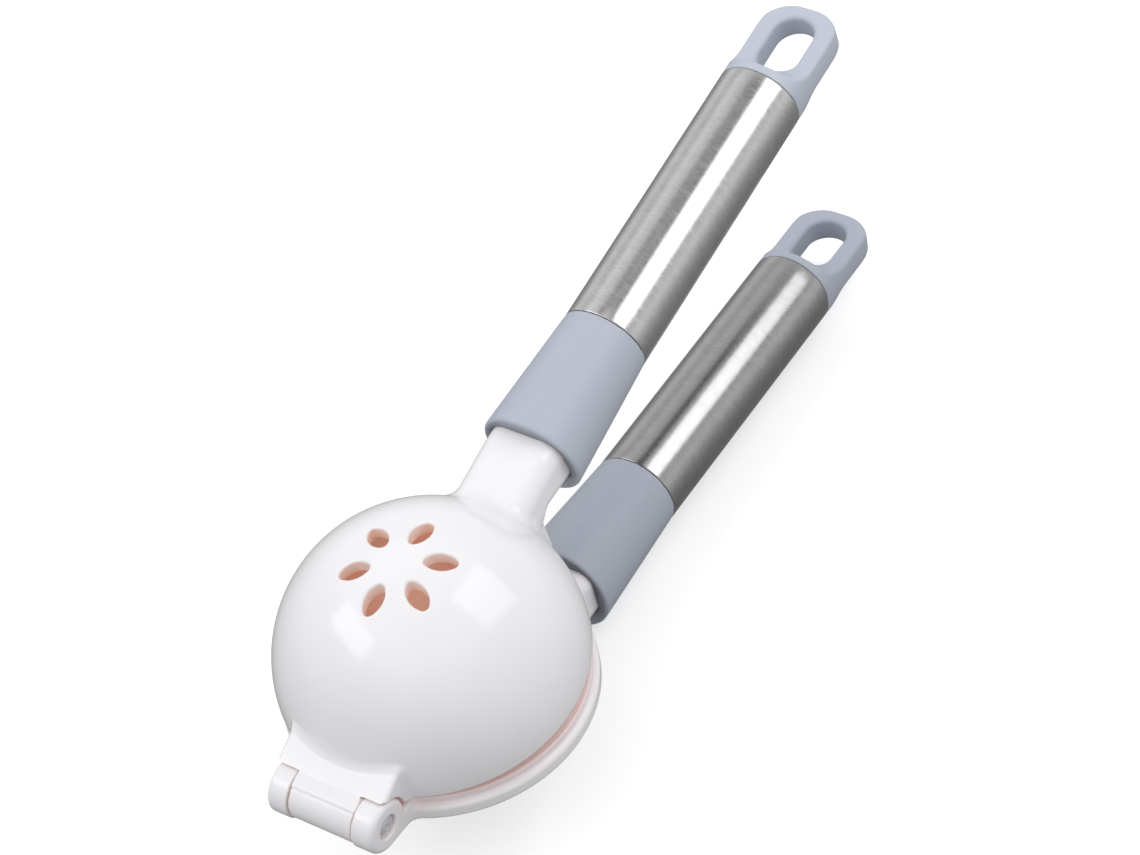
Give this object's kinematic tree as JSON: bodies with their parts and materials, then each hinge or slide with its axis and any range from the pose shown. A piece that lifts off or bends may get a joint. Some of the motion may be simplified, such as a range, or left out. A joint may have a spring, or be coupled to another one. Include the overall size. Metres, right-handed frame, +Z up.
{
  "type": "hand citrus squeezer",
  "caption": "Hand citrus squeezer: perforated half-round bowl arm and press arm hinged on a pin, steel-tube handles with grey ferrules and looped end caps.",
  "frame": {"origin": "centre of the lying tool's footprint, at the height of its lowest point, the underside of the lower ferrule", "axes": "+X from the hinge to the handle tips, +Y along the hinge axis, +Z up, through the top of the bowl"},
  "size_m": [0.2266, 0.0712, 0.088],
  "materials": {
    "white_plastic": "gloss white moulded plastic",
    "grey_plastic": "satin blue-grey moulded plastic",
    "brushed_tube": "lengthwise brushed stainless steel",
    "bright_steel": "plain bright steel pin, washer and screws",
    "core_plastic": "natural moulded plastic, hidden"
  },
  "bodies": {
    "press_arm": {"press_cup": "white_plastic", "hinge_pin": "bright_steel", "pin_retainer": "bright_steel", "lower_ferrule": "grey_plastic", "lower_tube": "brushed_tube", "lower_core": "core_plastic", "lower_core_screw": "bright_steel", "lower_end_cap": "grey_plastic"},
    "bowl_arm": {"strainer_bowl": "white_plastic", "upper_ferrule": "grey_plastic", "upper_tube": "brushed_tube", "upper_core": "core_plastic", "upper_core_screw": "bright_steel", "upper_end_cap": "grey_plastic"}
  },
  "joints": [
    {"name": "hinge", "type": "hinge", "parent": "press_arm", "child": "bowl_arm", "pos_m": [-0.10695, 0, 0.03239], "axis": [0, -1, 0], "range_deg": [-6, 150]}
  ]
}
